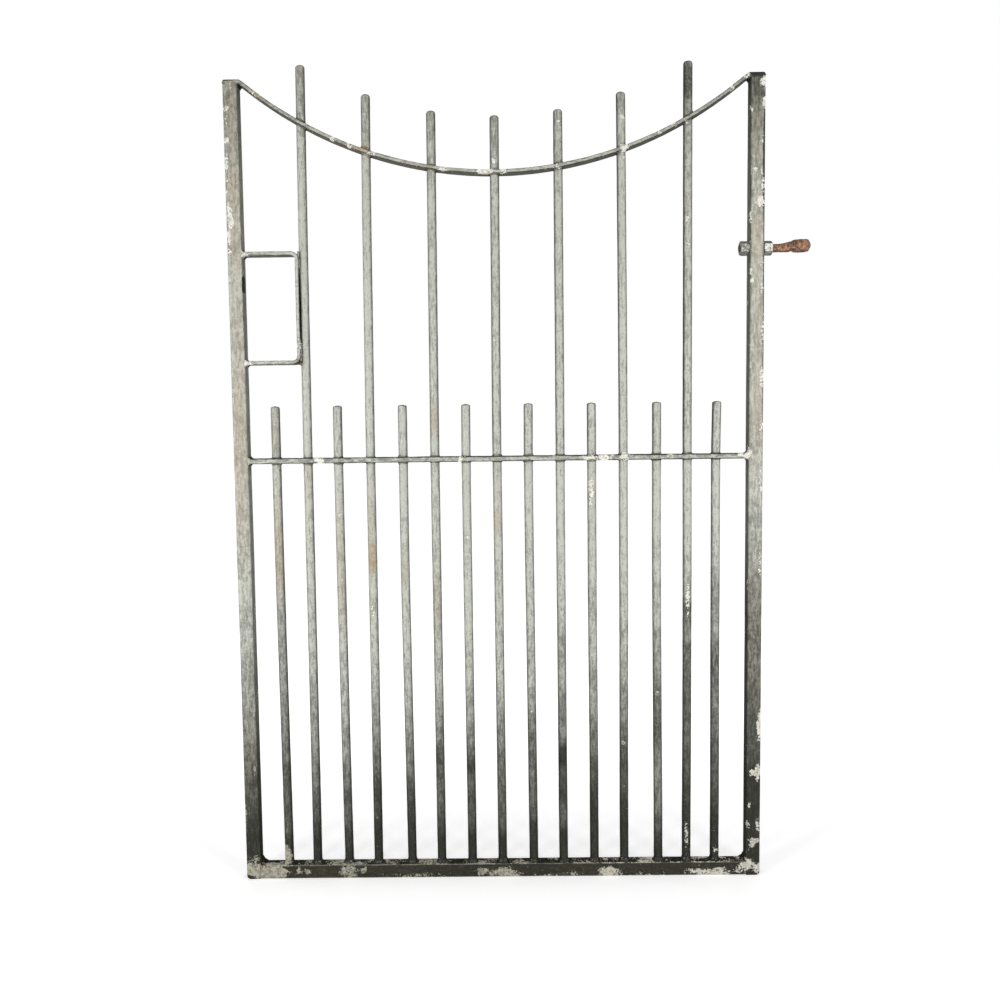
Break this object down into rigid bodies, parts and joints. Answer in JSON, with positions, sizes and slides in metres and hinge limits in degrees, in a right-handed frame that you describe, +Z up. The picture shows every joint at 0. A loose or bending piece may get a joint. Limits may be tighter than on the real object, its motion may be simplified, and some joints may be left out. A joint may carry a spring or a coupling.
{
  "type": "wrought-iron side gate leaf",
  "caption": "Iron side gate leaf with a dipped top rail, round vertical bars, an open lock box on the latch stile and an eye bolt hinge.",
  "frame": {"origin": "centre of the eye's flat underside, on the axis of the eye's bore", "axes": "+X from the latch side to the hinge side, +Y from the front to the back, +Z up"},
  "size_m": [0.9971, 0.0372, 1.4154],
  "materials": {
    "black_paint": "old black paint, satin, chipped to a pale undercoat and lightly rusted",
    "rusted_iron": "bare forged iron with a brown, scaly rust",
    "worn_nut": "pale paint worn through to grey metal"
  },
  "bodies": {
    "root": {"latch_stile": "black_paint", "hinge_stile": "black_paint", "bottom_rail": "black_paint", "mid_rail": "black_paint", "top_rail": "black_paint", "long_bar_1": "black_paint", "long_bar_2": "black_paint", "long_bar_3": "black_paint", "long_bar_4": "black_paint", "long_bar_5": "black_paint", "long_bar_6": "black_paint", "long_bar_7": "black_paint", "short_bar_1": "black_paint", "short_bar_2": "black_paint", "short_bar_3": "black_paint", "short_bar_4": "black_paint", "short_bar_5": "black_paint", "short_bar_6": "black_paint", "short_bar_7": "black_paint", "short_bar_8": "black_paint", "lock_box": "black_paint", "eye_bolt": "rusted_iron", "inner_nut": "worn_nut", "outer_nut": "worn_nut"}
  },
  "joints": []
}
